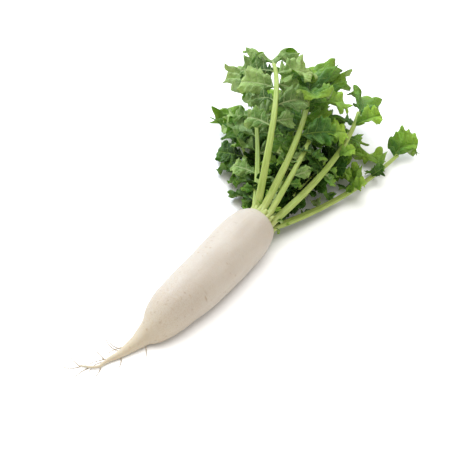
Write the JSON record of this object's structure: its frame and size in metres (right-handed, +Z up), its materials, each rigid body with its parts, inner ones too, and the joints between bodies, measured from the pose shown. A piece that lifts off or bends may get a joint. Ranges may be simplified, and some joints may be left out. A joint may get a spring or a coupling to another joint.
{
  "type": "daikon radish",
  "caption": "Whole long white radish with a thin tail root and its crown of lobed green leaves, lying on its side.",
  "frame": {"origin": "on the surface the radish lies on, under the middle of its whole box", "axes": "+Z up; +Y along the root from the tail to the crown and leaves; +X to the right of the root when looking along +Y"},
  "size_m": [0.2602, 0.5744, 0.1351],
  "materials": {
    "white_skin": "smooth cream-white root skin, softly satin, with faint cross marks and pale tan pores, warmer towards the tail",
    "stalk_green": "pale yellow-green leaf stalk, satin, finely ribbed along its length",
    "leaf_green": "mid-green puckered leaf with paler veins and a pale underside, softly satin",
    "young_green": "light green unopened young leaf, satin"
  },
  "bodies": {
    "root": {"taproot": "white_skin", "leaf_1_end_blade": "leaf_green", "leaf_1_leaflet_1": "leaf_green", "leaf_1_leaflet_2": "leaf_green", "leaf_1_leaflet_3": "leaf_green", "leaf_1_leaflet_4": "leaf_green", "leaf_1_leaflet_5": "leaf_green", "leaf_1_stalk": "stalk_green", "leaf_2_end_blade": "leaf_green", "leaf_2_leaflet_1": "leaf_green", "leaf_2_leaflet_2": "leaf_green", "leaf_2_leaflet_3": "leaf_green", "leaf_2_leaflet_4": "leaf_green", "leaf_2_stalk": "stalk_green", "leaf_3_end_blade": "leaf_green", "leaf_3_leaflet_1": "leaf_green", "leaf_3_leaflet_2": "leaf_green", "leaf_3_leaflet_3": "leaf_green", "leaf_3_stalk": "stalk_green", "leaf_4_end_blade": "leaf_green", "leaf_4_leaflet_1": "leaf_green", "leaf_4_leaflet_2": "leaf_green", "leaf_4_leaflet_3": "leaf_green", "leaf_4_leaflet_4": "leaf_green", "leaf_4_stalk": "stalk_green", "leaf_5_end_blade": "leaf_green", "leaf_5_leaflet_1": "leaf_green", "leaf_5_leaflet_2": "leaf_green", "leaf_5_stalk": "stalk_green", "leaf_6_end_blade": "leaf_green", "leaf_6_leaflet_1": "leaf_green", "leaf_6_leaflet_2": "leaf_green", "leaf_6_leaflet_3": "leaf_green", "leaf_6_leaflet_4": "leaf_green", "leaf_6_stalk": "stalk_green", "leaf_7_end_blade": "leaf_green", "leaf_7_leaflet_1": "leaf_green", "leaf_7_leaflet_2": "leaf_green", "leaf_7_leaflet_3": "leaf_green", "leaf_7_leaflet_4": "leaf_green", "leaf_7_stalk": "stalk_green", "leaf_8_end_blade": "leaf_green", "leaf_8_leaflet_1": "leaf_green", "leaf_8_leaflet_2": "leaf_green", "leaf_8_leaflet_3": "leaf_green", "leaf_8_leaflet_4": "leaf_green", "leaf_8_stalk": "stalk_green", "leaf_9_end_blade": "leaf_green", "leaf_9_leaflet_1": "leaf_green", "leaf_9_leaflet_2": "leaf_green", "leaf_9_leaflet_3": "leaf_green", "leaf_9_stalk": "stalk_green", "leaf_10_end_blade": "leaf_green", "leaf_10_leaflet_1": "leaf_green", "leaf_10_leaflet_2": "leaf_green", "leaf_10_leaflet_3": "leaf_green", "leaf_10_stalk": "stalk_green", "young_leaf_1": "young_green", "young_leaf_2": "young_green", "young_leaf_3": "young_green"}
  },
  "joints": []
}
